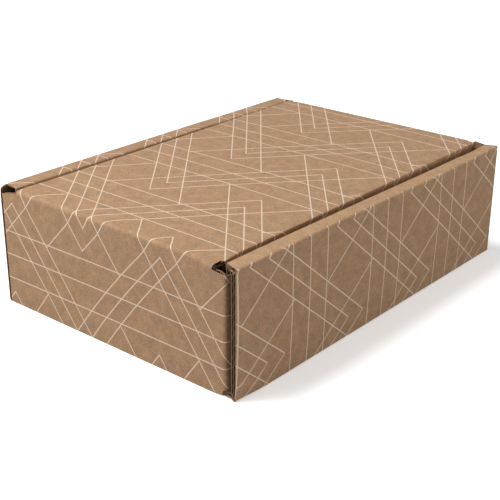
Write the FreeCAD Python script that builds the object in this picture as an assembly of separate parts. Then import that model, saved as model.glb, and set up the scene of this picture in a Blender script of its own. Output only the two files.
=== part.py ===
import FreeCAD, Part
import math
import os

# Corrugated mailer box: one die-cut sheet of single-wall board, folded into a tray with rolled end walls
# and a lid that turns about its crease on the back wall. Millimetres. X runs along the lid's crease, Y from
# the back wall to the front wall, Z up. The origin is the middle of the base, on the surface it stands on.

# Outside of the closed box
box_length = 246.0
box_depth = 348.0
box_height = 100.0

# Board: two liners and a wavy medium between them
board = 4.0
liner = 0.35
medium = 0.35
flute_pitch = 7.9

# Outer radii of the folds
base_fold = 4.0
corner_fold = 5.0
roll_fold = 3.5
crease_fold = 7.0
flap_fold = 4.0

# Room left between layers that lie beside each other
tab_gap = 0.5
rest_gap = 0.3
slot_gap = 0.4
crease_gap = 0.2

# Rolled end walls: an outer panel, a top band, and an inner panel with its lock tabs
band_width = 14.5
band_cut_rear = 5.0
band_cut_front = 10.0
lock_tab_length = 46.0
lock_tab_spacing = 170.0
lock_tab_taper = 3.0

# Back and front walls with their corner tabs
front_wall_drop = 0.3
shoulder_drop = 2.0
tab_top_drop = 7.5
tab_length = 72.0
tab_taper = 6.0

# Lid: how far its top lies below the bands, the room at its sides, and its flaps
lid_drop = 1.0
lid_gap_left = 2.5
lid_gap_right = 6.0
crease_inset = 2.0
lid_corner_cut = 1.0
side_flap_depth = 62.0
side_flap_rear = 12.0
side_flap_front = 16.0
side_flap_taper = 9.0
tuck_depth = 60.0
tuck_inset = 8.0
tuck_taper = 7.0
tuck_lean = 6.0

# How far a cutting tool reaches past the board that it cuts
past = 1.0

# Places that follow from the sizes above
right = box_length / 2
back = -box_depth / 2
front = -back
lid_top = box_height - lid_drop
lid_left = -right + band_width + lid_gap_left
lid_right = right - band_width - lid_gap_right
lid_front = front - board - rest_gap
crease_left = lid_left + crease_inset
crease_right = lid_right - crease_inset
step_left = crease_left - rest_gap
step_right = crease_right + rest_gap
crease_foot = lid_top - 2 * crease_fold
front_wall_top = box_height - front_wall_drop
tab_top = box_height - tab_top_drop
tab_face = right - board - tab_gap
fold_start = tab_face - corner_fold
inner_face = right - band_width
foot = board + rest_gap
pivot_inset = crease_fold * (1 - math.sqrt(0.5))
pivot = (back + pivot_inset, lid_top - pivot_inset)


def direction(a, b):
    """Unit direction from point a to point b, and their distance."""
    length = math.hypot(b[0] - a[0], b[1] - a[1])
    return (b[0] - a[0]) / length, (b[1] - a[1]) / length, length


def inner_path(path):
    """The path moved by the board's thickness to the left of its direction, with mitred corners."""
    moved = []
    last = len(path) - 1
    for i, point in enumerate(path):
        u0, v0, _ = direction(path[max(i - 1, 0)], path[max(i, 1)])
        u1, v1, _ = direction(path[min(i, last - 1)], path[min(i + 1, last)])
        scale = board / (1 + u0 * u1 + v0 * v1)
        moved.append((point[0] - scale * (v0 + v1), point[1] + scale * (u0 + u1)))
    return moved


def sheet_outline(path, radii):
    """Outline of a board whose outer face follows the path, with the board on the path's left, and the
    radius of each corner: the fold's own outside, and what the board leaves of it inside."""
    inner_radii = [max(radius - board, 0) for radius in radii]
    return path + inner_path(path)[::-1], radii + inner_radii[::-1]


def rounded_corner(before, corner, after, radius):
    """Start, middle and end of the arc that rounds a corner between two straight sides."""
    u0, v0, _ = direction(corner, before)
    u1, v1, _ = direction(corner, after)
    half = math.acos(max(-1.0, min(1.0, u0 * u1 + v0 * v1))) / 2
    reach = radius / math.tan(half)
    inset = (radius / math.sin(half) - radius) / math.hypot(u0 + u1, v0 + v1)
    start = (corner[0] + u0 * reach, corner[1] + v0 * reach)
    middle = (corner[0] + (u0 + u1) * inset, corner[1] + (v0 + v1) * inset)
    end = (corner[0] + u1 * reach, corner[1] + v1 * reach)
    return start, middle, end


def outline_face(points, radii, place):
    """Flat face inside the points, each corner rounded by its radius, put into space by place(u, v)."""
    count = len(points)
    corners = []
    for i, corner in enumerate(points):
        if radii and radii[i] > 0:
            corners.append(rounded_corner(points[i - 1], corner, points[(i + 1) % count], radii[i]))
        else:
            corners.append((corner, None, corner))
    edges = []
    for i, (start, middle, end) in enumerate(corners):
        following = corners[(i + 1) % count][0]
        if middle:
            edges.append(Part.Arc(place(*start), place(*middle), place(*end)).toShape())
        if math.dist(end, following) > 1e-6:
            edges.append(Part.makeLine(place(*end), place(*following)))
    return Part.Face(Part.Wire(edges))


def along_x(points, x0, x1, radii=None):
    """Solid with the given outline in Y and Z, from x0 to x1."""
    face = outline_face(points, radii, lambda u, v: FreeCAD.Vector(x0, u, v))
    return face.extrude(FreeCAD.Vector(x1 - x0, 0, 0))


def along_y(points, y0, y1, radii=None):
    """Solid with the given outline in X and Z, from y0 to y1."""
    face = outline_face(points, radii, lambda u, v: FreeCAD.Vector(u, y0, v))
    return face.extrude(FreeCAD.Vector(0, y1 - y0, 0))


def along_z(points, z0, z1, radii=None):
    """Solid with the given outline in X and Y, from z0 to z1."""
    face = outline_face(points, radii, lambda u, v: FreeCAD.Vector(u, v, z0))
    return face.extrude(FreeCAD.Vector(0, 0, z1 - z0))


def block(x0, x1, y0, y1, z0, z1):
    """Plain rectangular solid between two corners."""
    return Part.makeBox(x1 - x0, y1 - y0, z1 - z0, FreeCAD.Vector(x0, y0, z0))


def joined(shapes):
    """One solid from overlapping shapes, without seams between faces in one plane."""
    return shapes[0].fuse(shapes[1:]).removeSplitter()


def other_side(shape):
    """The same shape mirrored from right to left."""
    return shape.mirror(FreeCAD.Vector(0, 0, 0), FreeCAD.Vector(1, 0, 0))


def other_end(shape):
    """The same shape mirrored from back to front."""
    return shape.mirror(FreeCAD.Vector(0, 0, 0), FreeCAD.Vector(0, 1, 0))


def flutes(width):
    """Outlines of the air beside the medium in a stretch of board: triangles that stand on each liner in
    turn, as (distance along the waves, depth from the outer face)."""
    count = int(width / flute_pitch)
    start = (width - count * flute_pitch) / 2
    slope = (board - 2 * liner) / (flute_pitch / 2)
    half = flute_pitch / 2 - medium * math.hypot(1, slope) / slope / 2
    outlines = []
    for i in range(2 * count - 1):
        middle = start + (i + 1) * flute_pitch / 2
        base = liner if i % 2 else board - liner
        tip = base + half * slope if i % 2 else base - half * slope
        outlines.append([(middle - half, base), (middle + half, base), (middle, tip)])
    return outlines


def end_wall():
    """Right end wall with its half of the bottom: up the outer panel, over the band, down the inner one."""
    path = [(0, 0), (right, 0), (right, box_height), (inner_face, box_height), (inner_face, foot)]
    outline, radii = sheet_outline(path, [0, base_fold, roll_fold, roll_fold, 0])
    wall = along_y(outline, back, front, radii)
    for end, cut in ((back, band_cut_rear), (front, -band_cut_front)):
        outside = end - math.copysign(past, cut)
        outer_x = right - board
        corner = [(outer_x, outside), (outer_x, end), (inner_face, end + cut)]
        corner += [(inner_face - past, end + cut), (inner_face - past, outside)]
        wall = wall.cut(along_z(corner, foot - rest_gap / 2, box_height + past))
    inner_back = inner_face + board
    tabs = []
    for y in (-lock_tab_spacing / 2, lock_tab_spacing / 2):
        y0 = y - lock_tab_length / 2
        y1 = y + lock_tab_length / 2
        slot = block(inner_face - slot_gap, inner_back + slot_gap, y0 - slot_gap, y1 + slot_gap, -past, foot)
        wall = wall.cut(slot)
        tab = [(y0, foot + past), (y0, board), (y0 + lock_tab_taper, slot_gap)]
        tab += [(y1 - lock_tab_taper, slot_gap), (y1, board), (y1, foot + past)]
        tabs.append(along_x(tab, inner_face, inner_back))
    wall = joined([wall] + tabs)
    outer_low = base_fold + board
    high = box_height - roll_fold - board
    channels = []
    for shape in flutes(high - outer_low):
        channels.append(along_y([(right - v, outer_low + u) for u, v in shape], back - past, front + past))
    for shape in flutes(high - foot):
        channels.append(along_y([(inner_face + v, foot + u) for u, v in shape], back - past, front + past))
    return wall.cut(channels)


def cross_wall(middle_top):
    """Back wall up to middle_top between the ends of the lid's crease, where its top edge steps down and
    falls towards the corner folds, with its two corner tabs behind the outer panels of the end walls."""
    plan = [(-tab_face, back + tab_length), (-tab_face, back), (tab_face, back), (tab_face, back + tab_length)]
    outline, radii = sheet_outline(plan, [0, corner_fold, corner_fold, 0])
    wall = along_z(outline, foot, box_height, radii)
    shoulder = lid_top - shoulder_drop
    face = [(-tab_face, 0), (tab_face, 0), (tab_face, tab_top), (step_right, shoulder)]
    face += [(step_right, middle_top), (step_left, middle_top), (step_left, shoulder), (-tab_face, tab_top)]
    wall = wall.common(along_y(face, back, back + tab_length))
    sloped = [(back + corner_fold, tab_top), (back + tab_length, tab_top - tab_taper)]
    sloped += [(back + tab_length, box_height), (back + corner_fold, box_height)]
    wall = wall.cut([along_x(sloped, fold_start, right), along_x(sloped, -right, -fold_start)])
    base = block(-fold_start, fold_start, back, back + board, 0, foot + past)
    return joined([wall, base])


def cross_wall_flutes(start, end, low):
    """Flutes of the back wall from start to end along X, open at its top edge and closed at low."""
    channels = []
    for shape in flutes(end - start):
        channels.append(along_z([(start + u, back + v) for u, v in shape], low, box_height + past))
    return channels


def tab_flutes():
    """Flutes of the right rear corner tab, which run through from its bottom edge to its top edge."""
    start = back + corner_fold
    channels = []
    for shape in flutes(tab_length - corner_fold):
        channels.append(along_z([(tab_face - v, start + u) for u, v in shape], foot - past, box_height + past))
    return channels


def beyond_mitre(side):
    """Everything on one side of the plane that halves the lid's crease: side is 1 for the lid, -1 for the
    wall. Half of the crease's gap is added to it."""
    far = box_depth * 2
    step = math.sqrt(0.5)
    near_y = pivot[0] - side * crease_gap / 2 * step
    near_z = pivot[1] - side * crease_gap / 2 * step
    run = far * step
    outline = [(near_y - run, near_z + run), (near_y + run, near_z - run)]
    outline += [(near_y + run + side * run, near_z - run + side * run)]
    outline += [(near_y - run + side * run, near_z + run + side * run)]
    return along_x(outline, -box_length, box_length)


def crease_strip():
    """Board round the lid's crease, from the back wall's outer face to the lid's top."""
    path = [(back + 2 * crease_fold, lid_top), (back, lid_top), (back, crease_foot)]
    outline, radii = sheet_outline(path, [0, crease_fold, 0])
    return along_x(outline, crease_left, crease_right, radii)


def rounded_foot():
    """What the fold along the bottom of the back wall leaves out of a square edge."""
    corner = block(board - right, right - board, back - past, back + base_fold, -past, base_fold)
    centre = FreeCAD.Vector(-right, back + base_fold, base_fold)
    return corner.cut(Part.makeCylinder(base_fold, box_length, centre, FreeCAD.Vector(1, 0, 0)))


def make_tray():
    """Bottom, back and front walls with their corner tabs, and the two rolled end walls."""
    end = end_wall()
    rear = cross_wall(crease_foot + past)
    strip = crease_strip().cut(beyond_mitre(1))
    closed = base_fold + board
    channels = tab_flutes()
    channels += cross_wall_flutes(step_right, fold_start, closed)
    channels += cross_wall_flutes(-fold_start, step_left, closed)
    channels += [other_side(channel) for channel in tab_flutes()]
    rear = joined([rear, strip]).cut(channels)
    forward = cross_wall(front_wall_top)
    channels = tab_flutes()
    channels += cross_wall_flutes(-fold_start, fold_start, closed)
    channels += [other_side(channel) for channel in tab_flutes()]
    forward = other_end(forward.cut(channels))
    tray = joined([end, other_side(end), rear, forward])
    return tray.cut([rounded_foot(), other_end(rounded_foot())])


def side_flaps():
    """Lid panel with its two side flaps, whose ends are cut back towards their lower edges."""
    low = lid_top - side_flap_depth
    path = [(lid_right, low), (lid_right, lid_top), (lid_left, lid_top), (lid_left, low)]
    outline, radii = sheet_outline(path, [0, flap_fold, flap_fold, 0])
    start = back + side_flap_rear
    end = lid_front - side_flap_front
    flaps = along_y(outline, start, end, radii)
    high = lid_top - flap_fold
    rear_cut = [(start, high), (start + side_flap_taper, low), (start + side_flap_taper, low - past)]
    rear_cut += [(start - past, low - past), (start - past, high)]
    front_cut = [(end, high), (end - side_flap_taper, low), (end - side_flap_taper, low - past)]
    front_cut += [(end + past, low - past), (end + past, high)]
    flaps = flaps.cut([along_x(cut, -right, right) for cut in (rear_cut, front_cut)])
    channels = []
    for shape in flutes(high - low):
        channels.append(along_y([(lid_right - v, low + u) for u, v in shape], back, front))
        channels.append(along_y([(lid_left + v, low + u) for u, v in shape], back, front))
    return flaps.cut(channels)


def tuck_flap():
    """Front strip of the lid panel with the tuck flap, which leans back and narrows towards its edge."""
    lean = math.radians(tuck_lean)
    low_y = lid_front - tuck_depth * math.sin(lean)
    low_z = lid_top - tuck_depth * math.cos(lean)
    x0 = lid_left + tuck_inset
    x1 = lid_right - tuck_inset
    path = [(low_y, low_z), (lid_front, lid_top), (lid_front - side_flap_front - flap_fold, lid_top)]
    outline, radii = sheet_outline(path, [0, flap_fold, 0])
    flap = along_x(outline, x0, x1, radii)
    high = lid_top - flap_fold
    for edge, cut in ((x0, tuck_taper), (x1, -tuck_taper)):
        outside = edge - math.copysign(past, cut)
        corner = [(edge, high), (edge + cut, low_z), (edge + cut, low_z - past), (outside, low_z - past)]
        corner += [(outside, high)]
        flap = flap.cut(along_y(corner, low_y - board * 2, lid_front + past))
    start = x0 + tuck_taper
    channels = []
    for shape in flutes(x1 - x0 - 2 * tuck_taper):
        outline = [(start + u, lid_front - v) for u, v in shape]
        channels.append(along_z(outline, lid_top - tuck_depth - past, high - board))
    tools = Part.makeCompound(channels)
    tools.rotate(FreeCAD.Vector(0, lid_front, lid_top), FreeCAD.Vector(1, 0, 0), -tuck_lean)
    return flap.cut(tools)


def make_lid():
    """Lid panel from its crease to the front wall, with its flaps folded down."""
    strip = crease_strip().cut(beyond_mitre(-1))
    panel_low = lid_top - board
    inner = (lid_left + lid_corner_cut, lid_right - lid_corner_cut)
    panel = block(*inner, back + crease_fold, lid_front - flap_fold, panel_low, lid_top)
    return joined([strip, panel, side_flaps(), tuck_flap()])


os.makedirs("parts", exist_ok=True)
for name, solid in (("tray", make_tray()), ("lid", make_lid())):
    solid.exportStep(f"parts/{name}.step")
    box = solid.BoundBox
    print(name, "solids", len(solid.Solids), "valid", solid.isValid(), "volume", round(solid.Volume))
    print("  x", round(box.XMin, 3), round(box.XMax, 3), "y", round(box.YMin, 3), round(box.YMax, 3))
    print("  z", round(box.ZMin, 3), round(box.ZMax, 3), "faces", len(solid.Faces))
print("hinge axis at y", round(pivot[0], 4), "z", round(pivot[1], 4))
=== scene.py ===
# %% [markdown]
# # A corrugated mailer box, built as the sheet it is folded from
#
# The real box is one die-cut sheet of single-wall board: two flat papers, the liners, with a wavy paper, the
# medium, glued between them. It could be modelled as solid slabs with a bump map. Here each paper is a
# surface of its own, because the raw edges show the waves, and the folds round off by themselves when a flat
# sheet is bent by a formula.

# %% Load the frame
import math

import bmesh
import bpy
import numpy as np
from mathutils import Matrix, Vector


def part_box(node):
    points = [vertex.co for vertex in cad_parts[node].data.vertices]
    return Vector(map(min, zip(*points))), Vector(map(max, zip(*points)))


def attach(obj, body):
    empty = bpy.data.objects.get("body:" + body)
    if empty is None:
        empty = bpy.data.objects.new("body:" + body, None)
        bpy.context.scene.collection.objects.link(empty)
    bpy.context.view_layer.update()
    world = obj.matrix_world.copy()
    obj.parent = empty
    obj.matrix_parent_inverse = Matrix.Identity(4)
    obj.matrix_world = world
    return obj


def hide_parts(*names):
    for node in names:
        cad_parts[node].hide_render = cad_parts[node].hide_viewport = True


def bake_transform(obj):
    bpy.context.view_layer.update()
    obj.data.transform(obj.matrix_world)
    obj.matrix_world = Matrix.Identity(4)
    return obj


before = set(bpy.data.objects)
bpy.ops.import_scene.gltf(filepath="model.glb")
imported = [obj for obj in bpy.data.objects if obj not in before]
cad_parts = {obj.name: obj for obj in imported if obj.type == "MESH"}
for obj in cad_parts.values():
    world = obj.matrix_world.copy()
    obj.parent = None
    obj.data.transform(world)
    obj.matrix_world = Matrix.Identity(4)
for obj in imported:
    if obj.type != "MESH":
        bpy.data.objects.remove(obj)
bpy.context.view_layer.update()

# %% [markdown]
# ## Sizes
#
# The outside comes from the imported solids. The board's own sizes and the fold radii are driving values. All
# lengths are in metres, so a millimetre is written `3 * MM`.

# %% Sizes of the box and of its board
MM = 0.001
tray_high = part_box("tray")[1]
lid_low, lid_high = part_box("lid")
half_length = tray_high[0]
half_depth = tray_high[1]
height = tray_high[2]
lid_top = lid_high[2]
lid_left, lid_right = lid_low[0], lid_high[0]
lid_middle = (lid_left + lid_right) / 2
half_lid = (lid_right - lid_left) / 2

board = 4.0 * MM
liner = 0.36 * MM
medium = 0.28 * MM
flute = 7.9 * MM

base_fold = 2.0 * MM
wall_fold = 0.9 * MM
loose_corner = 3.6 * MM
tight_corner = 2.5 * MM
roll_fold = 1.6 * MM
crease_fold = 3.0 * MM
flap_fold = 1.2 * MM

foot = board + 0.3 * MM
band = 14.5 * MM
inner_face = half_length - band
fold_left, fold_right = half_length - 3.3 * MM, half_length - 14.4 * MM
crease_left, crease_right = lid_left + 2.3 * MM, lid_right - 2.9 * MM
lid_front = half_depth - 1.7 * MM
front_top = height - 5.0 * MM
print(f"box {2 * half_length:.3f} x {2 * half_depth:.3f} x {height:.3f} m, lid top at {lid_top:.3f} m")

# %% [markdown]
# ## Folding by formula
#
# A fold line that is bent is a short arc between two straight stretches. Walking along such a path, the place
# is the sum of what each stretch adds: a straight of length d adds d times its direction, and an arc of
# curvature k adds (sin(h + kd) - sin h) / k across and (cos h - cos(h + kd)) / k up, where h is the heading
# at its start. Clipping the distance to each stretch lets numpy do a whole grid at once. Board is crushed
# where it is creased, so its thickness dips at each arc.

# %% A walk along straights and bends, and the board's thickness on the way
QUARTER = math.pi / 2


def bend(radius, turn=QUARTER):
    """An arc as (length, turn)."""
    return radius * turn, turn


def total(path):
    """Length of a path or of its first stretches."""
    return sum(length for length, turn in path)


def walk(s, path):
    """Across, up and heading at distance s along the path's stretches; the last one has no end."""
    across = np.zeros_like(s)
    up = np.zeros_like(s)
    heading = np.zeros_like(s)
    begin = 0.0
    start = 0.0
    for i, (length, turn) in enumerate(path):
        end = length if i < len(path) - 1 else np.inf
        d = np.clip(s - begin, 0, end)
        if turn:
            k = turn / length
            across += (np.sin(start + k * d) - math.sin(start)) / k
            up += (math.cos(start) - np.cos(start + k * d)) / k
            heading += k * d
        else:
            across += d * math.cos(start)
            up += d * math.sin(start)
        begin += length
        start += turn
    return across, up, heading


def smooth(t):
    """The smooth step 3t^2 - 2t^3 on t clipped to 0..1."""
    t = np.clip(t, 0, 1)
    return t * t * (3 - 2 * t)


CRUSH = 3.5 * MM
CRUSHED, THINNEST = 0.85, 0.24
flat_step = 5 * MM
fold_step = 1 * MM
wave_step = flute / 10


def thickness(s, path):
    """Board thickness along the path: full on the flats, CRUSHED times the radius in a bend, and nowhere less
    than THINNEST times the board."""
    result = np.full_like(s, board)
    begin = 0.0
    for length, turn in path:
        if turn:
            crushed = min(board, CRUSHED * length / abs(turn))
            away = np.abs(s - begin - length / 2) - length / 2
            result -= (board - crushed) * smooth(1 - away / CRUSH)
        begin += length
    return np.maximum(result, THINNEST * board)


def creased(s, path):
    """How much a point lies in a crease: 1 in each bend, falling smoothly to 0 on the flats beside it."""
    result = np.zeros_like(s)
    begin = 0.0
    for length, turn in path:
        if turn:
            away = np.abs(s - begin - length / 2) - length / 2
            result = np.maximum(result, smooth(1 - away / CRUSH))
        begin += length
    return result


def tidy(marks, least=0.05 * MM):
    """The marks in order, without those that lie closer than the least distance."""
    marks = np.unique(np.round(np.concatenate([np.atleast_1d(m) for m in marks]), 7))
    return marks[np.concatenate([[True], np.diff(marks) > least])]


def stations(path, last, step, extra=()):
    """Distances along the path: every step on its flats, every fold_step in its bends, and the extra ones."""
    marks = [0.0, *extra]
    begin = 0.0
    for length, turn in path:
        end = min(begin + length, last)
        if end > begin:
            size = min(step, fold_step, length / 5) if turn else step
            marks.append(np.linspace(begin, end, max(2, int(math.ceil((end - begin) / size)) + 1)))
        if turn:
            beside = np.array([begin - CRUSH, begin - CRUSH / 2, end + CRUSH / 2, end + CRUSH])
            marks.append(beside[beside < last])
        begin += length
    return tidy(marks)


# %% [markdown]
# ## The folds of this box
#
# Six paths describe it. `END` runs from the middle of the bottom out under the end wall, up its outer panel,
# over the top band and down its inner panel. `LOOSE_WALL` and `TIGHT_WALL` run from the middle of the back or
# front wall round its right and its left corner into the tabs. `COLUMN` runs from the middle of the bottom up
# the back wall and over the crease into the lid. `LID` and `TUCK` run over the lid's edges into its flaps.

# %% Paths of the folds
END = [(half_length - base_fold, 0), bend(base_fold), (height - base_fold - roll_fold, 0), bend(roll_fold)]
END += [(band - 2 * roll_fold, 0), bend(roll_fold), (height - roll_fold - foot, 0)]
end_wall_foot = half_length - 2 * base_fold + bend(base_fold)[0]
ease, lean = math.radians(12), math.radians(8.5)
tab_start, tab_kink = 25 * MM, 2 * MM
loose_tab, tight_tab = 39 * MM, 40 * MM
LOOSE_WALL = [(fold_right, 0), bend(loose_corner, QUARTER - ease)]
LOOSE_WALL += [(tab_start, 0), (tab_kink, ease), (loose_tab, 0)]
TIGHT_WALL = [(fold_left, 0), bend(tight_corner, QUARTER + lean)]
TIGHT_WALL += [(tab_start, 0), (tab_kink, -lean), (tight_tab, 0)]
COLUMN = [(half_depth - wall_fold, 0), bend(wall_fold), (lid_top - wall_fold - crease_fold, 0)]
COLUMN += [bend(crease_fold), (half_depth, 0)]
column_base = half_depth - wall_fold
column_wall = column_base + bend(wall_fold)[0] - wall_fold
side_flap = 58 * MM
LID = [(half_lid - flap_fold, 0), bend(flap_fold), (side_flap, 0)]
tuck_begin, tuck_under, tuck_flap = 12 * MM, 3.9 * MM, 50 * MM
tuck_fold, tuck_back = math.radians(130), math.radians(34)
TUCK = [(tuck_begin, 0), bend(flap_fold, tuck_fold), (tuck_under, 0), (2 * MM, -tuck_back), (tuck_flap, 0)]
tuck_start = lid_front - flap_fold - tuck_begin
end_reach, lid_reach, tuck_reach = total(END), total(LID), total(TUCK)
for name, reach in (("end", end_reach), ("lid", lid_reach), ("tuck", tuck_reach)):
    print(f"{name} path {reach / MM:.1f} mm")


# %% Wear: how far each worn place has moved
squash, curl_in, front_lean = 3.3 * MM, 2.0 * MM, 4.8 * MM
sag_right, sag_left, lean_left = 1.7 * MM, 0.3 * MM, 1.5 * MM
narrow_middle, narrow_front = 1.0 * MM, 2.0 * MM
press_in, press_up = 2.2 * MM, 1.2 * MM
lid_droop, crease_rise, front_rise = 3.0 * MM, 0.8 * MM, 0.9 * MM
print(f"the right end wall sags by up to {sag_right / MM:.1f} mm")


# %% Where a point of the flat sheet goes: depth 0 is the outer face and 1 the inner one
def end_place(a, b, depth):
    """Bottom and rolled end walls: a runs along END to either side, b is Y. The end walls' cut edges at the
    back are pinched: the right one curls inwards, and the left one is squashed flat by the tab behind it."""
    across, up, heading = walk(np.abs(a), END)
    on_bottom = (a > -fold_left - 0.1 * MM) & (a < fold_right + 0.1 * MM)
    squashed = board - squash * smooth(1 - (b + half_depth) / (22 * MM)) * (a < -half_length)
    crushed = np.where(on_bottom, thickness(np.abs(b), COLUMN), squashed)
    inward = depth * np.minimum(thickness(np.abs(a), END), crushed)
    above_foot, below_top = np.abs(a) - half_length, end_wall_foot + height - np.abs(a)
    on_wall = smooth(above_foot / (4 * MM)) * smooth(below_top / (4 * MM))
    curl = curl_in * smooth(1 - (b + half_depth) / (5 * MM)) * on_wall * (a > 0)
    x = np.sign(a) * (across - inward * np.sin(heading) - curl)
    return np.stack([x, b, up + inward * np.cos(heading)], -1)


def wall_path(a, value):
    """A value of the wall's path on either side: the fold is loose at the right corner, tight at the left."""
    return np.where(a > 0, value(np.abs(a), LOOSE_WALL), value(np.abs(a), TIGHT_WALL))


def wall_place(a, b, depth, side):
    """Back (side -1) or front (side 1) wall with its tabs: a runs to either side of its middle, b is Z. The
    front's right corner lies closer to the end wall than the back's."""
    across, back, heading = (wall_path(a, lambda s, path, i=i: walk(s, path)[i]) for i in range(3))
    inward = depth * np.minimum(wall_path(a, thickness), thickness(column_wall + b, COLUMN))
    y = side * (half_depth - back - inward * np.cos(heading))
    closer = (side > 0) * front_lean * smooth(a / fold_right) * smooth((b - wall_fold) / (14 * MM))
    return np.stack([np.sign(a) * (across - inward * np.sin(heading)) + closer, y, b], -1)


def column_place(a, b, depth, side):
    """Strip along COLUMN, from the bottom towards the back (side -1) or the front: a is X."""
    across, up, heading = walk(b, COLUMN)
    inward = depth * np.minimum(thickness(b, COLUMN), wall_path(a, thickness))
    return np.stack([a, side * (across - inward * np.sin(heading)), up + inward * np.cos(heading)], -1)


def worn(points):
    """The tray as it has settled. The right end wall sags between its corners, and its band gets narrower
    towards the front; the left band leans on the lid there; and the lower right corner at the back is pressed
    in and a little up."""
    x, y, z = points[..., 0], points[..., 1], points[..., 2]
    high = smooth((z - 0.5 * height) / (0.5 * height))
    right, left = smooth((x - 102 * MM) / (6 * MM)) * high, smooth((-x - 102 * MM) / (6 * MM)) * high
    to_front = smooth((y - 40 * MM) / (60 * MM))
    between = smooth((y + 80 * MM) / (200 * MM)) * smooth((half_depth + 3 * MM - y) / (50 * MM))
    sag = sag_right * right * between + sag_left * left * to_front
    narrow = narrow_middle * smooth((y + 150 * MM) / (120 * MM))
    narrow = narrow + narrow_front * smooth((y - 120 * MM) / (35 * MM))
    inner_right = narrow * right * smooth((half_length - x) / band)
    inner_left = lean_left * left * smooth((half_length + x) / band) * to_front
    corner = smooth(1 - (y + half_depth) / (30 * MM))
    pressed = press_in * corner * smooth((x - 116 * MM) / (4 * MM)) * np.clip(1 - z / (12 * MM), 0, 1) ** 2
    raised = press_up * corner * smooth((x - 101 * MM) / (10 * MM)) * smooth((120 * MM - x) / (4 * MM))
    raised = raised * np.clip(1 - z / (14 * MM), 0, 1)
    return np.stack([x + inner_right + inner_left - pressed, y, z - sag + raised], -1)


def spring(x, y):
    """How far the lid stands up beside its crease, which springs back a little; its right corner droops."""
    from_back = y + half_depth
    droop = lid_droop * smooth((x - 80 * MM) / (20 * MM)) * smooth(1 - from_back / (32 * MM))
    return crease_rise * np.exp(-((from_back / (18 * MM)) ** 2)) - droop


def lift(x, y):
    """How far the lid rises above its level place: beside the crease, and at the front, which isn't held."""
    return spring(x, y) + front_rise * smooth((y + 0.5 * half_depth) / (1.45 * half_depth))


def crease_place(a, b, depth):
    """The lid's crease: COLUMN at the back, raised as the lid beside it is."""
    points = column_place(a, b, depth, -1)
    risen = smooth((b - column_wall - lid_top + 14 * MM) / (12 * MM))
    points[..., 2] += spring(points[..., 0], points[..., 1]) * risen
    return points


def lid_place(a, b, depth):
    """Lid panel with its side flaps: a runs along LID from the lid's middle to either side, b is Y."""
    across, down, heading = walk(np.abs(a), LID)
    inward = depth * np.minimum(thickness(np.abs(a), LID), thickness(b - tuck_start, TUCK))
    x = lid_middle + np.sign(a) * (across - inward * np.sin(heading))
    return np.stack([x, b, lid_top + lift(x, b) - down - inward * np.cos(heading)], -1)


def tuck_place(a, b, depth):
    """Tuck flap: a runs along TUCK over the front edge, b is measured from the lid's middle."""
    across, down, heading = walk(a, TUCK)
    inward = depth * thickness(a, TUCK)
    y = tuck_start + across - inward * np.sin(heading)
    x = lid_middle + b
    return np.stack([x, y, lid_top + lift(x, y) - down - inward * np.cos(heading)], -1)


# %% [markdown]
# ## From patches to papers
#
# A patch is a grid over a stretch of the flat sheet, between two borders b = low(a) and b = high(a), put in
# its place by one of the functions above. The patches of one paper are welded where they meet, and a Solidify
# modifier gives the paper its thickness. Each patch also carries a UV map with the place on the flat sheet in
# metres, because the printed lines were put on while the sheet was flat.

# %% Patches, welding and thickness
def patch(place, a, v, low, high, depth, sheet, fold, outside=True, holes=(), finish=0):
    """Grid of corners (a, b = low(a) + (high(a) - low(a)) v). Gives its points, their place on the flat
    sheet, how much each is creased, the faces that no hole (a0, a1, b0, b1) takes, and their material."""
    A, V = np.meshgrid(a, v, indexing="ij")
    B = low(A) + (high(A) - low(A)) * V
    flat = np.stack(sheet(A, B), -1)
    creases = fold(A, B)
    D = depth(flat[..., 0], B, creases) if callable(depth) else np.full_like(A, depth)
    points = place(A, B, D)
    deeper = place(A, B, D + 0.05)
    index = np.arange(A.size).reshape(A.shape)
    faces = np.stack([index[:-1, :-1], index[1:, :-1], index[1:, 1:], index[:-1, 1:]], -1)
    middle_a = (A[:-1, :-1] + A[1:, 1:]) / 2
    middle_b = (B[:-1, :-1] + B[1:, 1:]) / 2
    keep = np.ones(middle_a.shape, bool)
    for a0, a1, b0, b1 in holes:
        keep &= ~((middle_a > a0) & (middle_a < a1) & (middle_b > b0) & (middle_b < b1))
    normal = np.cross(points[1, 0] - points[0, 0], points[0, 1] - points[0, 0])
    if (np.dot(normal, deeper[0, 0] - points[0, 0]) > 0) == outside:
        faces = faces[..., ::-1]
    faces = faces[keep]
    return points.reshape(-1, 3), flat.reshape(-1, 2), creases.ravel(), faces, np.full(len(faces), finish)


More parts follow.
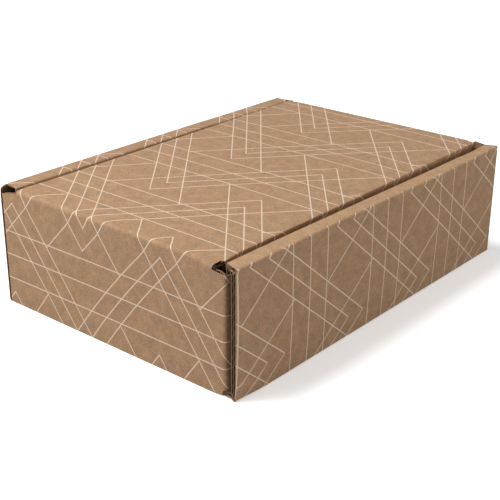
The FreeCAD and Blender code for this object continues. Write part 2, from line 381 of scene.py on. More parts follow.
def paper(name, patches, thick, materials, offset=-1.0, weld=0.02 * MM, sharp=35):
    """One mesh object from patches: welded, given its thickness, and shaded smooth up to the sharp angle."""
    points, flat, fold, faces, finish = zip(*patches)
    shift = np.cumsum([0] + [len(p) for p in points])
    faces = np.concatenate([f + s for f, s in zip(faces, shift)])
    mesh = bpy.data.meshes.new(name)
    mesh.from_pydata(np.concatenate(points), [], faces)
    mesh.uv_layers.new(name="sheet").uv.foreach_set("vector", np.concatenate(flat)[faces.ravel()].ravel())
    mesh.attributes.new("fold", "FLOAT", "POINT").data.foreach_set("value", np.concatenate(fold))
    mesh.polygons.foreach_set("material_index", np.concatenate(finish))
    work = bmesh.new()
    work.from_mesh(mesh)
    bmesh.ops.remove_doubles(work, verts=work.verts, dist=weld)
    bmesh.ops.delete(work, geom=[vert for vert in work.verts if not vert.link_faces], context="VERTS")
    work.to_mesh(mesh)
    work.free()
    piece = bpy.data.objects.new(name, mesh)
    bpy.context.scene.collection.objects.link(piece)
    for material in materials:
        mesh.materials.append(material)
    solid = piece.modifiers.new("thickness", "SOLIDIFY")
    solid.thickness = thick
    solid.offset = offset
    solid.material_offset = 1
    solid.material_offset_rim = len(materials) - 1
    depsgraph = bpy.context.evaluated_depsgraph_get()
    final = bpy.data.meshes.new_from_object(piece.evaluated_get(depsgraph))
    piece.modifiers.clear()
    piece.data = final
    final.shade_smooth()
    final.set_sharp_from_angle(angle=math.radians(sharp))
    print(f"{name}: {len(final.polygons)} faces")
    return piece


# %% [markdown]
# ## The printed lines
#
# The print is a lattice of thin pale lines: level lines in threes, and zigzags, upward and downward chevrons
# at one slope. Everything repeats, so the distance to the nearest line comes from the ping-pong function,
# which folds a coordinate back and forth. The group returns the ink as a mask between 0 and 1.

# %% Node helpers
def node(tree, kind, **values):
    """A new node with some of its properties or input values set."""
    made = tree.nodes.new(kind)
    for key, value in values.items():
        if hasattr(made, key):
            setattr(made, key, value)
        else:
            made.inputs[key.replace("_", " ")].default_value = value
    return made


def link(tree, source, target):
    """Joins an output to an input."""
    tree.links.new(source, target)


def sums(tree, operation, *values, clamp=False):
    """A Math node on sockets and numbers, and its output."""
    made = tree.nodes.new("ShaderNodeMath")
    made.operation = operation
    made.use_clamp = clamp
    for socket, value in zip(made.inputs, values):
        if isinstance(value, bpy.types.NodeSocket):
            tree.links.new(value, socket)
        else:
            socket.default_value = value
    return made.outputs[0]


def new_group(name, inputs, outputs):
    """An empty node group with float, vector or colour sockets; returns its tree and both ends."""
    tree = bpy.data.node_groups.new(name, "ShaderNodeTree")
    kinds = {"f": "NodeSocketFloat", "v": "NodeSocketVector", "c": "NodeSocketColor"}
    for label, kind, value in inputs:
        socket = tree.interface.new_socket(label, in_out="INPUT", socket_type=kinds[kind])
        if kind != "v":
            socket.default_value = value
    for label, kind in outputs:
        tree.interface.new_socket(label, in_out="OUTPUT", socket_type=kinds[kind])
    return tree, tree.nodes.new("NodeGroupInput").outputs, tree.nodes.new("NodeGroupOutput").inputs


# %% The lattice of printed lines, in millimetres on the sheet
column_pitch = 161.0
row_pitch = 96.5
slope = 1.2
apex = 14.2
zigzag_top = 89.9
chevron_top = 13.25
valley_foot = 70.6
level_lines = (63.8, 43.95, 24.1)


def make_lattice():
    """Ink mask of the lines, from the place on the sheet in metres and the line's half width in mm."""
    inputs = [("Sheet", "v", None), ("Half width", "f", 0.45), ("Softness", "f", 0.12)]
    tree, given, result = new_group("printed lattice", inputs, [("Ink", "f")])
    place = node(tree, "ShaderNodeSeparateXYZ")
    link(tree, given["Sheet"], place.inputs[0])
    x = sums(tree, "MULTIPLY", place.outputs[0], 1 / MM)
    y = sums(tree, "MULTIPLY", place.outputs[1], 1 / MM)
    half = column_pitch / 2
    u = sums(tree, "PINGPONG", sums(tree, "SUBTRACT", x, apex), half)
    steep = 1 / math.hypot(1, slope)
    families = [
        (zigzag_top, -1, 0, None),
        (chevron_top, -1, 0, None),
        (chevron_top, 1, -slope * column_pitch, "GREATER_THAN"),
        (valley_foot, -1, slope * half, None),
        (valley_foot, 1, slope * half, "LESS_THAN"),
    ]
    nearest = None
    for level, sign, shift, part in families:
        line = sums(tree, "MULTIPLY_ADD", u, sign * slope, level + shift)
        away = sums(tree, "PINGPONG", sums(tree, "SUBTRACT", y, line), row_pitch / 2)
        away = sums(tree, "MULTIPLY", away, steep)
        if part:
            off = sums(tree, "SUBTRACT", 1, sums(tree, part, u, half / 2))
            away = sums(tree, "MULTIPLY_ADD", off, row_pitch, away)
        nearest = away if nearest is None else sums(tree, "MINIMUM", nearest, away)
    for level in level_lines:
        away = sums(tree, "PINGPONG", sums(tree, "SUBTRACT", y, level), row_pitch / 2)
        nearest = sums(tree, "MINIMUM", nearest, away)
    ramp = node(tree, "ShaderNodeMapRange")
    link(tree, nearest, ramp.inputs["Value"])
    link(tree, sums(tree, "ADD", given["Half width"], given["Softness"]), ramp.inputs["From Min"])
    link(tree, sums(tree, "SUBTRACT", given["Half width"], given["Softness"]), ramp.inputs["From Max"])
    link(tree, ramp.outputs[0], result["Ink"])
    return tree


lattice = make_lattice()
print("lattice nodes:", len(lattice.nodes))


# %% [markdown]
# ## Kraft paper
#
# Unbleached paper isn't one brown. It has soft clouds where the pulp lay thicker, long fibres along the
# machine's direction, and a few dark and pale specks. A photograph of paper would show all this at once, but
# it would repeat and stretch. Noise at four scales on the sheet's own coordinates stays true on every panel.

# %% Colours, written as they look on a screen
def colour(red, green, blue):
    """Linear colour from screen values of 0 to 255."""
    screen = np.array([red, green, blue]) / 255
    linear = np.where(screen <= 0.04045, screen / 12.92, ((screen + 0.055) / 1.055) ** 2.4)
    return (*linear.tolist(), 1.0)


KRAFT = colour(173, 137, 104)
BARE = colour(181, 145, 109)
INNER = colour(168, 133, 101)
INK = colour(240, 216, 192)
# The medium's colour is darker than fluting paper's own: partly its tone and partly painted shade for the
# gaps and raw edges where it shows.
FLUTING_AND_SHADE = colour(96, 71, 48)
# The cut edges' colour is darker than the liners' own cut paper: partly their tone and partly painted shade
# of the deep gaps where they show.
CUT_AND_SHADE = colour(164, 132, 102)


# %% Kraft paper as a node group
def make_kraft():
    """Colour times (1 + clouds + fibres - dark specks + pale specks), a little warmer in some places and
    cooler in others; Height is the fibres' own relief."""
    inputs = [("Sheet", "v", None), ("Colour", "c", KRAFT), ("Clouds", "f", 0.28), ("Fibres", "f", 0.36)]
    tree, given, result = new_group("kraft paper", inputs, [("Colour", "c"), ("Height", "f")])
    scaled = node(tree, "ShaderNodeVectorMath", operation="SCALE")
    scaled.inputs["Scale"].default_value = 1 / MM
    link(tree, given["Sheet"], scaled.inputs[0])
    drawn = node(tree, "ShaderNodeVectorMath", operation="MULTIPLY")
    drawn.inputs[1].default_value = (0.45, 1.5, 1.0)
    link(tree, scaled.outputs[0], drawn.inputs[0])

    def noise(vector, scale, detail, roughness):
        made = node(tree, "ShaderNodeTexNoise", Scale=scale, Detail=detail, Roughness=roughness)
        link(tree, vector, made.inputs["Vector"])
        return sums(tree, "SUBTRACT", made.outputs["Fac"], 0.5)

    clouds = noise(scaled.outputs[0], 0.11, 6, 0.75)
    fibres = noise(drawn.outputs[0], 0.9, 4, 0.7)
    specks = noise(scaled.outputs[0], 1.3, 2, 0.5)
    factor = sums(tree, "MULTIPLY_ADD", sums(tree, "MULTIPLY", clouds, given["Clouds"]), 4, 1)
    factor = sums(tree, "MULTIPLY_ADD", sums(tree, "MULTIPLY", fibres, given["Fibres"]), 4, factor)
    dark = sums(tree, "MULTIPLY", sums(tree, "SUBTRACT", specks, 0.27, clamp=True), 4, clamp=True)
    paler = sums(tree, "SUBTRACT", sums(tree, "MULTIPLY", specks, -1), 0.28, clamp=True)
    pale = sums(tree, "MULTIPLY", paler, 3)
    factor = sums(tree, "MULTIPLY_ADD", dark, -0.9, factor)
    factor = sums(tree, "ADD", factor, pale)
    warmth = sums(tree, "MULTIPLY", noise(scaled.outputs[0], 0.23, 3, 0.7), 0.45)
    warm = node(tree, "ShaderNodeCombineXYZ", Y=1.0)
    link(tree, sums(tree, "ADD", warmth, 1), warm.inputs["X"])
    link(tree, sums(tree, "SUBTRACT", 1, warmth), warm.inputs["Z"])
    coloured = node(tree, "ShaderNodeVectorMath", operation="MULTIPLY")
    link(tree, given["Colour"], coloured.inputs[0])
    link(tree, warm.outputs[0], coloured.inputs[1])
    tinted = node(tree, "ShaderNodeVectorMath", operation="SCALE")
    link(tree, coloured.outputs[0], tinted.inputs[0])
    link(tree, factor, tinted.inputs["Scale"])
    link(tree, tinted.outputs[0], result["Colour"])
    link(tree, fibres, result["Height"])
    return tree


kraft_paper = make_kraft()


# %% Relief of the board: waves that show through, and wrinkles in the creases
def make_relief():
    """Height in millimetres: a faint cosine across the flutes, plus wrinkles along the creases."""
    inputs = [("Sheet", "v", None), ("Fold", "f", 0.0), ("Waves", "f", 0.045), ("Wrinkles", "f", 0.12)]
    tree, given, result = new_group("board relief", inputs, [("Height", "f")])
    place = node(tree, "ShaderNodeSeparateXYZ")
    link(tree, given["Sheet"], place.inputs[0])
    phase = sums(tree, "MULTIPLY", place.outputs[0], 2 * math.pi / flute)
    waves = sums(tree, "MULTIPLY", sums(tree, "COSINE", phase), given["Waves"])
    scaled = node(tree, "ShaderNodeVectorMath", operation="SCALE")
    scaled.inputs["Scale"].default_value = 1 / MM
    link(tree, given["Sheet"], scaled.inputs[0])
    rough = node(tree, "ShaderNodeTexNoise", Scale=0.55, Detail=4, Roughness=0.6)
    link(tree, scaled.outputs[0], rough.inputs["Vector"])
    uneven = sums(tree, "SUBTRACT", rough.outputs["Fac"], 0.5)
    wrinkles = sums(tree, "MULTIPLY", sums(tree, "MULTIPLY", uneven, given["Fold"]), given["Wrinkles"])
    link(tree, sums(tree, "ADD", waves, wrinkles), result["Height"])
    return tree


board_relief = make_relief()


# %% Materials of the board's papers
# Painted shade inside the rolled end walls: where it begins, and the share of the paper's colour that it
# leaves.
hollow_start, shade_share = inner_face + 0.5 * MM, 0.25


def make_paper(name, base, printed=False, clouds=0.28, fibres=0.36, roughness=0.85, shade_inside_rolls=False):
    """Principled paper: kraft colour, with ink where it is printed, and with painted shade inside the rolled
    end walls, beyond the inner panels' face, where the colour is darkened to a share of itself because little
    light gets in there."""
    material = bpy.data.materials.new(name)
    material.use_nodes = True
    tree = material.node_tree
    shader = tree.nodes["Principled BSDF"]
    shader.inputs["Roughness"].default_value = roughness
    shader.inputs["Specular IOR Level"].default_value = 0.5
    sheet = node(tree, "ShaderNodeUVMap", uv_map="sheet").outputs[0]
    fold = node(tree, "ShaderNodeAttribute", attribute_name="fold").outputs["Fac"]

    def group(made, **values):
        box = tree.nodes.new("ShaderNodeGroup")
        box.node_tree = made
        for key, value in values.items():
            if isinstance(value, bpy.types.NodeSocket):
                link(tree, value, box.inputs[key.replace("_", " ")])
            else:
                box.inputs[key.replace("_", " ")].default_value = value
        return box.outputs

    kraft = group(kraft_paper, Sheet=sheet, Colour=base, Clouds=clouds, Fibres=fibres)
    relief = group(board_relief, Sheet=sheet, Fold=fold)
    shown = kraft["Colour"]
    if printed:
        ink = group(lattice, Sheet=sheet)["Ink"]
        cover = sums(tree, "MULTIPLY_ADD", kraft["Height"], 1.3, 0.86, clamp=True)
        ink = sums(tree, "MULTIPLY", ink, cover)
        mixed = node(tree, "ShaderNodeMix", data_type="RGBA")
        factor, first, second = (mixed.inputs[i] for i in (0, 6, 7))
        link(tree, ink, factor)
        link(tree, shown, first)
        second.default_value = INK
        shown = mixed.outputs[2]
    # Painted shade: inside the rolled end walls the colour is darkened, because little light gets in there.
    if shade_inside_rolls:
        spot = node(tree, "ShaderNodeSeparateXYZ")
        link(tree, tree.nodes.new("ShaderNodeTexCoord").outputs["Object"], spot.inputs[0])
        inside = sums(tree, "GREATER_THAN", sums(tree, "ABSOLUTE", spot.outputs[0]), hollow_start)
        painted_shade = node(tree, "ShaderNodeVectorMath", operation="SCALE")
        link(tree, shown, painted_shade.inputs[0])
        link(tree, sums(tree, "MULTIPLY_ADD", inside, shade_share - 1, 1), painted_shade.inputs["Scale"])
        shown = painted_shade.outputs[0]
    link(tree, shown, shader.inputs["Base Color"])
    height = sums(tree, "MULTIPLY_ADD", kraft["Height"], 0.05, relief["Height"])
    bump = node(tree, "ShaderNodeBump", Strength=1.0, Distance=MM)
    link(tree, height, bump.inputs["Height"])
    link(tree, bump.outputs[0], shader.inputs["Normal"])
    return material


printed_kraft = make_paper("printed kraft", KRAFT, printed=True)
plain_kraft = make_paper("plain kraft", INNER, shade_inside_rolls=True)
bare_kraft = make_paper("bare kraft", BARE)
cut_edge = make_paper("cut edge", CUT_AND_SHADE, clouds=0.2, fibres=0.3, roughness=0.95)
fluting = make_paper("fluting paper", FLUTING_AND_SHADE, clouds=0.2, fibres=0.3, roughness=0.92)
liner_finishes = [printed_kraft, plain_kraft, cut_edge]
medium_finishes = [fluting, fluting, fluting, cut_edge]
print("materials:", [material.name for material in bpy.data.materials])

# %% [markdown]
# ## Borders of the panels
#
# Each panel's cut edge is written as a border function of the place along the fold path. Panels that are
# folded from one another share the columns of their grids, so that their edges weld exactly.

# %% Where the print lies on each panel, in metres on the flat sheet
front_shift = 49.85 * MM
back_shift = column_wall + 95.3 * MM
end_shift = 77.6 * MM - end_wall_foot
left_shift = 1.2 * MM
END_DRIFT = (3.28, -0.74, -8.12, -0.27, -0.90, 5.18), (-0.67, 1.17, 6.70, -0.20, -0.90, -5.53)
BACK_DRIFT = (3.31, -0.09, 1.76, 1.85, 1.05, -7.32), (1.90, 0.30, -11.91, 0.63, -0.03, 10.86)
LID_DRIFT = (1.90, -1.30, -0.42, -1.40, -0.64, -0.46), (-1.95, 1.20, 0.15, 1.60, 0.53, 0.20)


def drift(u, v, across, along):
    """How far the print has drifted from the ideal lattice: polynomials of second degree in u and v, which
    count in units of 100 mm, with coefficients in millimetres."""
    u, v = u / (100 * MM), v / (100 * MM)
    terms = np.stack([np.ones_like(u), u, v, u * u, u * v, v * v], -1)
    return terms @ np.array(across) * MM, terms @ np.array(along) * MM


def end_sheet(a, b):
    """Bottom and end walls: the print's level lines run up the end walls."""
    up = np.clip(a - end_wall_foot, 0, height)
    along, across = drift(b, up, *END_DRIFT)
    right, left = smooth(a / (50 * MM)), smooth(-a / (50 * MM))
    return a + right * across + end_shift, -(b + right * along - left_shift * left) - front_shift


def back_sheet(a, b):
    """Back wall, where b is Z."""
    return back_column_sheet(a, column_wall + b)


def front_sheet(a, b):
    """Front wall, where b is Z."""
    return a + half_length, -column_wall - b - front_shift


def back_column_sheet(a, b):
    """Back wall and its fold, where b runs along COLUMN."""
    up = np.clip(b - column_wall, 0, height)
    across, along = drift(a, up, *BACK_DRIFT)
    return a + across + half_length, b + along - back_shift


def front_column_sheet(a, b):
    """The front wall's fold, where b runs along COLUMN."""
    return a + half_length, -b - front_shift


def lid_print(x, y):
    """The lid's print at a place that is unrolled into the lid's plane."""
    held_x, held_y = np.clip(x, -half_length, half_length), np.clip(y, -half_depth, half_depth)
    across, along = drift(held_x, held_y, *LID_DRIFT)
    return x + across + half_length, y + along + half_depth


def lid_sheet(a, b):
    """Lid and side flaps: a runs along LID from the lid's middle."""
    return lid_print(a + lid_middle, b)


def crease_sheet(a, b):
    """The back wall's print at the foot of the crease, blending into the lid's print at its other end."""
    share = smooth((b - crease_begin) / (crease_stop - crease_begin))
    back_x, back_y = back_column_sheet(a, b)
    lid_x, lid_y = lid_sheet(a - lid_middle, crease_end - crease_stop + b)
    return back_x + share * (lid_x - back_x), back_y + share * (lid_y - back_y)


def tuck_sheet(a, b):
    """Tuck flap: a runs along TUCK."""
    return lid_print(b + lid_middle, a + tuck_start)


# %% Columns that the bottom, the back wall and the front wall share
slot_near = inner_face - 0.4 * MM
slot_far = inner_face + board + 0.4 * MM
notch = 0.06 * MM
front_left, front_right = lid_left + 1.5 * MM, lid_right - 6.6 * MM
corner_end = {-1: total(TIGHT_WALL[:2]), 1: total(LOOSE_WALL[:2])}
ends = np.array([crease_left, crease_right, crease_left - notch, crease_right + notch])
front_ends = np.array([front_left, front_right, front_left - notch, front_right + notch])
slots = np.array([slot_near, slot_far])
near_corner = np.array([fold_right - CRUSH, fold_right - CRUSH / 2, CRUSH / 2 - fold_left, CRUSH - fold_left])
marks = [ends, front_ends, slots, -slots, near_corner]


def shared(step):
    """Columns between the two corner folds, one every step or closer."""
    count = int((fold_left + fold_right) / step) + 1
    columns = tidy([np.linspace(-fold_left, fold_right, count), *marks])
    return columns[(columns > -fold_left - 0.01 * MM) & (columns < fold_right + 0.01 * MM)]


def both_sides(left, right, step, extra=()):
    """The shared columns, and beyond them the stations of the left and the right path."""
    beyond = [stations(path, total(path), step, extra) for path in (left, right)]
    beyond = [s[s > start + 0.05 * MM] for s, start in zip(beyond, (fold_left, fold_right))]
    return np.concatenate([-beyond[0][::-1], shared(step), beyond[1]])


# %% Borders of the bottom with the end walls, and the slots for the lock tabs
band_start = total(END[:3])
band_end = total(END[:6])
band_print = band_start + bend(roll_fold)[0] + 0.3 * MM
corner_marks = [0, half_length - 3.2 * MM, half_length - 2 * MM]
corner_marks += [band_start - 8 * MM, band_start - 1 * MM, band_start + 2 * MM, band_end]
cut = half_depth - 0.12 * MM
foot_border = [column_base, column_base, cut]
lock_half = 23 * MM
lock_place = 85 * MM
slot_half = lock_half + 0.4 * MM


def end_border(a, left, right):
    """Distance of a cut edge from the middle, from what each band lacks at its marks, in millimetres."""
    borders = [foot_border + [cut - lack * MM for lack in lacks] for lacks in (left, right)]
    return np.where(a < 0, *(np.interp(np.abs(a), corner_marks, border) for border in borders))


def end_low(a):
    """Cut edge at the back."""
    return -end_border(a, (0, 0.3, 6, 4.5), (0, 0, 0, 5))


def end_high(a):
    """Cut edge at the front."""
    return end_border(a, (0, 2, 3, 6), (0, 0, 0, 4.3))


slot_holes = []
for y in (-lock_place, lock_place):
    slot_holes.append((slot_near, slot_far, y - slot_half, y + slot_half))
    slot_holes.append((-slot_far, -slot_near, y - slot_half, y + slot_half))


def end_rows(step):
    """Rows of the bottom and end walls from 0 to 1, with the slots' ends and finer rows by the cut edges."""
    count = int(2 * column_base / step) + 1
    edges = [y + side * slot_half for y in (-lock_place, lock_place) for side in (-1, 1)]
    close = np.array([0.6, 1.5, 3]) * MM
    rows = [np.linspace(-column_base, column_base, count), edges, column_base - close, close - column_base]
    return (tidy(rows) + column_base) / (2 * column_base)


# %% Borders of the back and front walls with their corner tabs
crease_foot = lid_top - 14 * MM
back_heights = [86, 92.5, 94, 97.6, 1000 * crease_foot, 1000 * crease_foot, 93.7, 92.8, 92.3, 86]
front_heights = [86, 96, 98.5, 99.6, 1000 * front_top, 1000 * front_top, 99.8, 97.6, 96, 86]


def wall_low(a):
    """Lower edge of a wall: its fold, and the tabs' cut edges a board's thickness above the bottom."""
    marks = [-fold_left - MM, -fold_left, fold_right, fold_right + MM]
    return np.interp(a, marks, [foot, wall_fold, wall_fold, foot])


def wall_high(left, right, heights):
    """Top edge of a wall, from heights in millimetres: level between left and right, with a notch's step to
    the shoulders, and the tabs beyond."""
    marks = [-total(TIGHT_WALL), -corner_end[-1], -fold_left, left - notch, left]
    marks += [right, right + notch, fold_right, corner_end[1], total(LOOSE_WALL)]
    return lambda a: np.interp(a, marks, np.array(heights) * MM)


back_high = wall_high(crease_left, crease_right, back_heights)
front_high = wall_high(front_left, front_right, front_heights)


wall_rows = tidy([np.linspace(0, 1, 18), [0.97, 0.985, 0.995]], 0.001)


# %% Borders of the lid with its side flaps, and of the tuck flap
flap_start = half_lid - flap_fold
flap_bent = flap_start + bend(flap_fold)[0]
tuck_half = half_lid - 8 * MM
tuck_bend = tuck_start + tuck_begin
flap_rear = -half_depth + 11 * MM
flap_front = half_depth - 5.5 * MM
crease_end = -half_depth + 14 * MM
crease_begin = column_wall + crease_foot
crease_stop = total(COLUMN[:4]) + crease_end + half_depth - crease_fold


def lid_low(a):
    """Rear edge of the lid: the crease's strip in the middle, and the side flaps' cut edges beyond."""
    left, right = crease_left - lid_middle, crease_right - lid_middle
    reach = [-lid_reach, -flap_bent, left - 0.2 * MM, left, right, right + 0.2 * MM, flap_bent, lid_reach]
    side = [flap_rear + 9 * MM, flap_rear, flap_rear - 2 * MM]
    return np.interp(a, reach, [*side, crease_end, crease_end, *side[::-1]])


def lid_high(a):
    """Front edge of the lid: the tuck flap's fold in the middle, and the side flaps' slanted ends beyond."""
    reach = [tuck_half, tuck_half + 0.3 * MM, flap_start, flap_bent, lid_reach]
    border = [tuck_bend, tuck_bend - 1.4 * MM, tuck_bend - 1.5 * MM, flap_front, flap_front - 13 * MM]
    return np.interp(np.abs(a), reach, border)


def tuck_side(a):
    """Half the tuck flap's width, which gets less towards its tip."""
    return tuck_half - 7 * MM * np.clip((a - 18 * MM) / (tuck_reach - 18 * MM), 0, 1)


def lid_columns(step):
    """Columns of the lid from its middle to either side, with those where its borders turn."""
    half = stations(LID, lid_reach, step, [tuck_half, tuck_half + 0.3 * MM])
    ends = np.array([crease_left - 0.2 * MM, crease_left, crease_right, crease_right + 0.2 * MM]) - lid_middle
    return tidy([-half, half, ends])


# %% [markdown]
# ## The papers
#
# The same patches are laid three times: at depth 0 for the outer liner, at depth 1 for the inner one, and
# between them for the medium, whose depth is a cosine of the place across the flutes. The medium needs ten
# columns for each wave, but hardly any rows, because it doesn't change along the flutes.

# %% The waves of the medium, and where they are pressed flat
crease_flat, cut_flat = 0.85, 0.7


def wave(x, b, creases):
    """Depth of the medium between the liners: 0.5 plus a cosine of the place across the flutes, which the
    creases press flat."""
    high = 0.5 - (liner + medium / 2) / board
    return 0.5 + high * np.cos(2 * math.pi * x / flute) * (1 - crease_flat * creases)


def end_wave(x, b, creases):
    """The same in the end walls, where the blade has pressed the waves flat beside the cut edges."""
    pressed = cut_flat * smooth((np.abs(b) - half_depth + 6 * MM) / (6 * MM))
    return 0.5 + (wave(x, b, creases) - 0.5) * (1 - pressed)


def end_creases(a, b):
    """Creases of the end walls, and of the bottom beside the back and front walls."""
    on_bottom = (a > -fold_left) & (a < fold_right)
    return np.maximum(creased(np.abs(a), END), creased(np.abs(b), COLUMN) * on_bottom)


def wall_creases(a, b):
    """Creases of the back and front walls: their corners and their foot."""
    return np.maximum(wall_path(a, creased), creased(column_wall + b, COLUMN))


def lid_creases(a, b):
    """Creases of the lid: its side flaps' folds and the tuck flap's."""
    return np.maximum(creased(np.abs(a), LID), creased(b - tuck_start, TUCK))


# %% The tray's patches at a given depth
def level(value):
    """A border at one value of b."""
    return lambda a: np.full_like(a, value)


def tab_half(a):
    """Half a lock tab's width, which gets less towards its tip."""
    return lock_half - 3 * MM * np.clip((np.abs(a) - end_reach) / foot, 0, 1)


def tray_patches(depth, outside, step, rows_step):
    """Bottom with end walls, bottom folds, back and front walls, and the lock tabs."""
    columns = both_sides(END, END, step, [band_print, slot_far])
    rows = end_rows(rows_step)
    common = dict(depth=depth, outside=outside)
    end_depth = end_wave if callable(depth) else depth
    made = []
    parts = [(-end_reach, -band_end, 1), (-band_end, band_print, 0), (band_print, end_reach, 1)]
    for first, last, finish in parts:
        some = columns[(columns > first - 0.01 * MM) & (columns < last + 0.01 * MM)]
        made.append(patch(lambda a, b, d: worn(end_place(a, b, d)), some, rows, end_low, end_high, end_depth,
                          sheet=end_sheet, holes=slot_holes, outside=outside,
                          fold=end_creases, finish=finish))
    bent = np.linspace(0, 1, 8)
    walls = both_sides(TIGHT_WALL, LOOSE_WALL, step)
    column_end = column_wall + wall_fold
    sides = ((-1, back_column_sheet, back_sheet, back_high), (1, front_column_sheet, front_sheet, front_high))
    for side, fold_sheet, wall_sheet, top in sides:
        made.append(patch(lambda a, b, d, side=side: worn(column_place(a, b, d, side)), shared(step), bent,
                          level(column_base), level(column_end), sheet=fold_sheet,
                          fold=lambda a, b: creased(b, COLUMN), **common))
        made.append(patch(lambda a, b, d, side=side: worn(wall_place(a, b, d, side)), walls, wall_rows,
                          wall_low, top, sheet=wall_sheet, fold=wall_creases, **common))
    tab = np.linspace(end_reach, end_reach + foot - 0.4 * MM, 4 if step > wave_step else 8)
    for y in (-lock_place, lock_place):
        for some in (tab, -tab[::-1]):
            made.append(patch(end_place, some, np.linspace(0, 1, 9), lambda a: y - tab_half(a),
                              lambda a: y + tab_half(a), sheet=end_sheet, fold=lambda a, b: 0 * a,
                              finish=1, **common))
    return made


tray_outer = paper("tray_outer_liner", tray_patches(0, True, flat_step, flat_step), liner,
                   [printed_kraft, bare_kraft, cut_edge])
tray_inner = paper("tray_inner_liner", tray_patches(1, False, flat_step, flat_step), liner,
                   [plain_kraft, plain_kraft, cut_edge])
tray_medium = paper("tray_medium", tray_patches(wave, True, wave_step, 25 * MM), medium, medium_finishes, 0.0)


# %% The lid's patches at a given depth
def lid_patches(depth, outside, step, rows_step):
    """Lid panel with side flaps, and the tuck flap."""
    columns = lid_columns(step)
    count = int((tuck_bend - crease_end) / rows_step) + 1
    near_tuck = 1 - np.array([CRUSH, CRUSH / 2]) / (tuck_bend - crease_end)
    rows = tidy([np.linspace(0, 1, count), near_tuck], 0.001)
    common = dict(depth=depth, outside=outside)
    panel = patch(lid_place, columns, rows, lid_low, lid_high, sheet=lid_sheet, fold=lid_creases, **common)
    along = stations(TUCK, tuck_reach, rows_step)
    along = along[along > tuck_begin - 0.01 * MM]
    across = columns[np.abs(columns) < tuck_half + 0.01 * MM] / tuck_half / 2 + 0.5
    tuck = patch(tuck_place, along, across, lambda a: -tuck_side(a), tuck_side, sheet=tuck_sheet,
                 fold=lambda a, b: creased(a, TUCK), **common)
    return [panel, tuck]


lid_outer = paper("lid_outer_liner", lid_patches(0, True, flat_step, flat_step), liner, liner_finishes)
lid_inner = paper("lid_inner_liner", lid_patches(1, False, flat_step, flat_step), liner,
                  [plain_kraft, plain_kraft, cut_edge])
lid_medium = paper("lid_medium", lid_patches(wave, True, wave_step, 20 * MM), medium, medium_finishes, 0.0)


# %% The crease between the back wall and the lid
def crease_patches(depth, outside, step):
    """The strip of board that bends when the lid opens."""
    along = stations(COLUMN, crease_stop, 2 * MM)
    along = tidy([along[(along > crease_begin) & (along < crease_stop)], crease_begin, crease_stop])
    rows = (along - crease_begin) / (crease_stop - crease_begin)
    columns = tidy([np.linspace(crease_left, crease_right, int((crease_right - crease_left) / step) + 1)])
    return [patch(crease_place, columns, rows, level(crease_begin), level(crease_stop), depth=depth,
                  outside=outside, sheet=crease_sheet, fold=lambda a, b: creased(b, COLUMN))]


crease_outer = paper("crease_outer_liner", crease_patches(0, True, flat_step), liner, liner_finishes)
crease_inner = paper("crease_inner_liner", crease_patches(1, False, flat_step), liner,
                     [plain_kraft, plain_kraft, cut_edge])
crease_medium = paper("crease_medium", crease_patches(wave, True, wave_step), medium, medium_finishes, 0.0)

# %% What moves with what
for piece in (tray_outer, tray_inner, tray_medium):
    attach(piece, "tray")
for piece in (lid_outer, lid_inner, lid_medium):
    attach(piece, "lid")
for piece in (crease_outer, crease_inner, crease_medium):
    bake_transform(piece)
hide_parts("tray")
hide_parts("lid")

# %% [markdown]
# ## Studio
#
# A white floor that keeps the shadow, a white surround and three soft lamps: the key, high and to the left of
# the camera, a weak low fill from the end wall's side, and a near disk that makes the light fall off from the
# crease to the front. The floor and the surround are white to the camera, and darker to the light that they
# send back, so that the end wall stays in half shade.

# %% Floor and surround
floor_grey, floor_glow, surround_level = 0.42, 0.45, 0.22


def camera_value(tree, seen, unseen):
    """A number that is one thing to camera, glossy and transmission rays and another to all others."""
    path = tree.nodes.new("ShaderNodeLightPath")
    ray = sums(tree, "MAXIMUM", path.outputs["Is Camera Ray"], path.outputs["Is Glossy Ray"])
    ray = sums(tree, "MAXIMUM", ray, path.outputs["Is Transmission Ray"])
    return sums(tree, "MULTIPLY_ADD", ray, seen - unseen, unseen)


floor_mesh = bpy.data.meshes.new("floor")
reach = 12.0
corners = [(-reach, -reach, 0), (reach, -reach, 0), (reach, reach, 0), (-reach, reach, 0)]
floor_mesh.from_pydata(corners, [], [(0, 1, 2, 3)])
floor = bpy.data.objects.new("floor", floor_mesh)
bpy.context.scene.collection.objects.link(floor)
white = bpy.data.materials.new("white floor")
white.use_nodes = True
tree = white.node_tree
grey = node(tree, "ShaderNodeCombineColor")
for channel in grey.inputs[:3]:
    link(tree, camera_value(tree, 1.0, floor_grey), channel)
shader = tree.nodes["Principled BSDF"]
shader.inputs["Roughness"].default_value = 1.0
shader.inputs["Specular IOR Level"].default_value = 0.0
link(tree, grey.outputs[0], shader.inputs["Base Color"])
shader.inputs["Emission Color"].default_value = (1, 1, 1, 1)
link(tree, camera_value(tree, floor_glow, 0.0), shader.inputs["Emission Strength"])
floor_mesh.materials.append(white)

world = bpy.data.worlds.new("surround")
bpy.context.scene.world = world
world.use_nodes = True
background = world.node_tree.nodes["Background"]
background.inputs["Color"].default_value = (1, 1, 1, 1)
link(world.node_tree, camera_value(world.node_tree, 1.0, surround_level), background.inputs["Strength"])

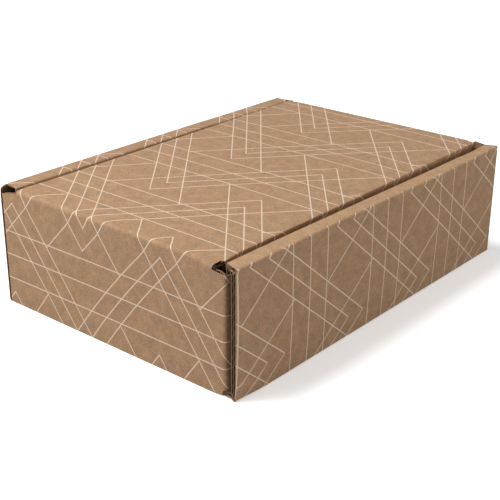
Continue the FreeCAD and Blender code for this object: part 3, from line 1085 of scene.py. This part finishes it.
# %% Lamps
def aimed(lamp, towards, distance=1.0):
    """Places a lamp at a distance from the origin in a direction, shining back at the origin."""
    towards = np.array(towards) / np.linalg.norm(towards)
    side = np.cross([0, 0, 1], towards)
    side /= np.linalg.norm(side)
    columns = np.column_stack([side, np.cross(towards, side), towards, towards * distance])
    lamp.matrix_world = Matrix(np.vstack([columns, [0, 0, 0, 1]]).tolist())
    bpy.context.scene.collection.objects.link(lamp)


def sun(name, level, degrees):
    """A distant lamp, as wide as the angle, whose light on faces square to the axes is the level."""
    lamp = bpy.data.lights.new(name, "SUN")
    lamp.energy = float(np.linalg.norm(level)) * math.pi
    lamp.angle = math.radians(degrees)
    aimed(bpy.data.objects.new(name, lamp), level)
    return lamp


key = sun("key", (-0.16, -0.12, 0.485), 16)
fill = sun("fill", (0.277, -0.03, 0.045), 24)
near = bpy.data.lights.new("near", "AREA")
near.shape = "DISK"
near.size = 0.5
near_level, near_distance = 0.355, 0.9
near.energy = near_level * math.pi**2 * near_distance**2
aimed(bpy.data.objects.new("near", near), (-0.27, -0.72, 0.64), near_distance)
print(f"key {key.energy:.2f}, fill {fill.energy:.2f}, near {near.energy:.2f} W")

# %% Camera, fitted to the box's corners
yaw, pitch, roll = math.radians(40.03), math.radians(23.40), math.radians(0.347)
forward = np.array([-math.sin(yaw) * math.cos(pitch), math.cos(yaw) * math.cos(pitch), -math.sin(pitch)])
right = np.cross(forward, [0, 0, 1])
right /= np.linalg.norm(right)
above = np.cross(right, forward)
turned_right = right * math.cos(roll) + above * math.sin(roll)
turned_above = above * math.cos(roll) - right * math.sin(roll)
camera_data = bpy.data.cameras.new("camera")
camera_data.sensor_width = 36
camera_data.lens = 76.85
camera_spot = [0.532, -0.649, 0.3858]
camera = bpy.data.objects.new("camera", camera_data)
place = np.column_stack([turned_right, turned_above, -forward, camera_spot])
camera.matrix_world = Matrix(np.vstack([place, [0, 0, 0, 1]]).tolist())
bpy.context.scene.collection.objects.link(camera)
bpy.context.scene.camera = camera
bpy.context.scene.view_settings.view_transform = "Standard"
